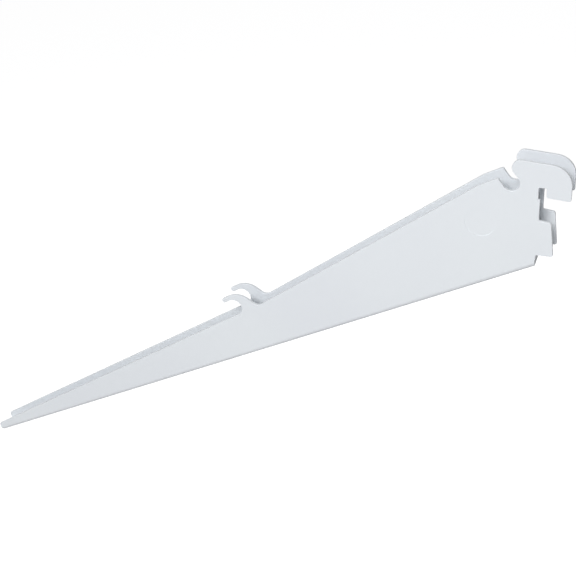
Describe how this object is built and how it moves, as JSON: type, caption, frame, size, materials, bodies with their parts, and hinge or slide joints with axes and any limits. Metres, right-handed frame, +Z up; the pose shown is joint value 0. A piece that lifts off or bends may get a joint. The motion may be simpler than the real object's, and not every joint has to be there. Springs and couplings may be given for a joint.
{
  "type": "slotted shelf bracket",
  "caption": "Sloping shelf bracket folded from one steel sheet, with hooks and a lug for a slotted upright and open seats for the rods of a wire shelf.",
  "frame": {"origin": "where the neck of the rear hook sits on the lower edge of its slot, in the upright's front face, on the bracket's middle plane", "axes": "+X back into the upright, +Y across the bracket, +Z up along the upright"},
  "size_m": [0.3138, 0.012, 0.1996],
  "materials": {
    "white_paint": "satin white powder coat"
  },
  "bodies": {
    "root": {"bracket": "white_paint"}
  },
  "joints": []
}
